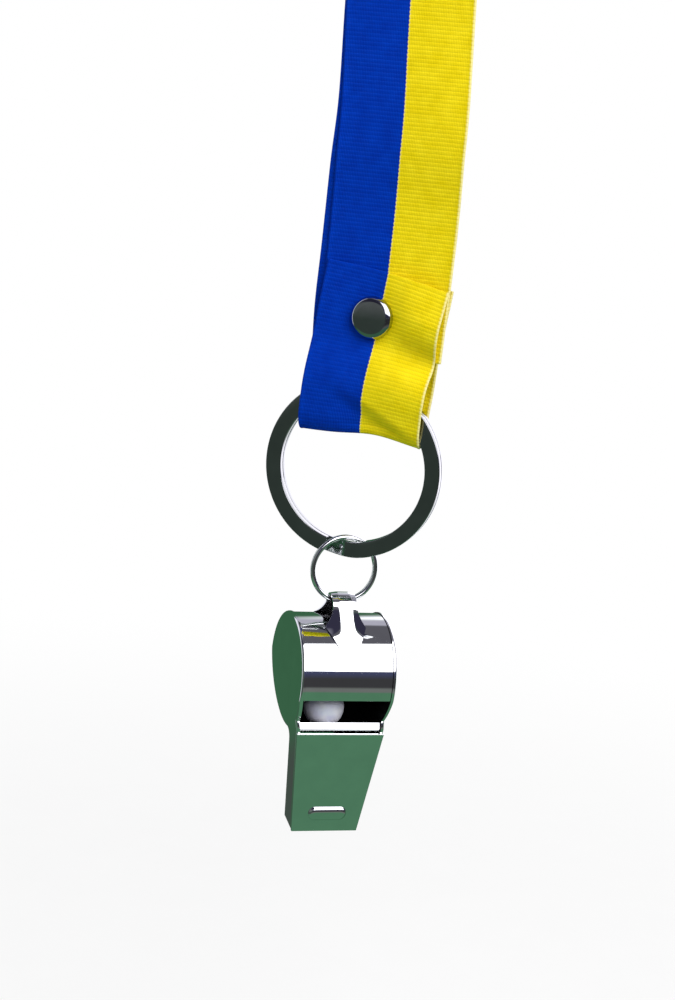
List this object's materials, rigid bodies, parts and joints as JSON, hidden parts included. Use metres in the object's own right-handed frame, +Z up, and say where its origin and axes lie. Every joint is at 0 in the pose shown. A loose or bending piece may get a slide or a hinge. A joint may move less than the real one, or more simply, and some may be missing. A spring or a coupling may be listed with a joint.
{
  "type": "pea whistle on a ribbon lanyard",
  "caption": "Polished metal pea whistle hung by a link ring and a split ring from a riveted two-colour ribbon loop.",
  "frame": {"origin": "inside of the crown of the ribbon loop, where a hook or a finger bears", "axes": "+Z up along the hanging chain, +X across the ribbon, -Y out of the ribbon's riveted front"},
  "size_m": [0.035, 0.0296, 0.2025],
  "materials": {
    "ribbon": "woven cross ribs, blue and yellow halves",
    "gunmetal": "mirror-bright dark plating",
    "black_nickel": "polished black nickel",
    "bright_chrome": "polished",
    "pea": "smooth"
  },
  "bodies": {
    "lanyard": {"lanyard_ribbon": "ribbon", "ring_tab": "ribbon", "rivet_front_cap": "gunmetal", "rivet_socket": "gunmetal", "rivet_back_cap": "gunmetal", "rivet_post": "gunmetal"},
    "split_ring": {"split_ring": "black_nickel"},
    "link_ring": {"link_ring": "bright_chrome"},
    "whistle": {"left_cheek": "bright_chrome", "right_cheek": "bright_chrome", "barrel_wrap": "bright_chrome", "mouthpiece_plate": "bright_chrome", "windway_floor": "bright_chrome", "ring_lug": "bright_chrome"},
    "pea": {"pea": "pea"}
  },
  "joints": [
    {"name": "split_ring_swing", "type": "hinge", "parent": "lanyard", "child": "split_ring", "pos_m": [0, 0, -0.1096], "axis": [1, 0, 0], "range_deg": [-60, 60], "deforming": ["ring_tab"]},
    {"name": "link_ring_swing", "type": "hinge", "parent": "split_ring", "child": "link_ring", "pos_m": [0, 0, -0.1454], "axis": [-0.5664, 0.8241, 0], "range_deg": [-45, 45]},
    {"name": "whistle_swing", "type": "hinge", "parent": "link_ring", "child": "whistle", "pos_m": [0, 0, -0.15582], "axis": [0.8241, 0.5664, 0], "range_deg": [-60, 60]},
    {"name": "pea_travel", "type": "slide", "parent": "whistle", "child": "pea", "axis": [-0.2273, 0.3308, 0.9159], "range_m": [0, 0.0136]}
  ]
}
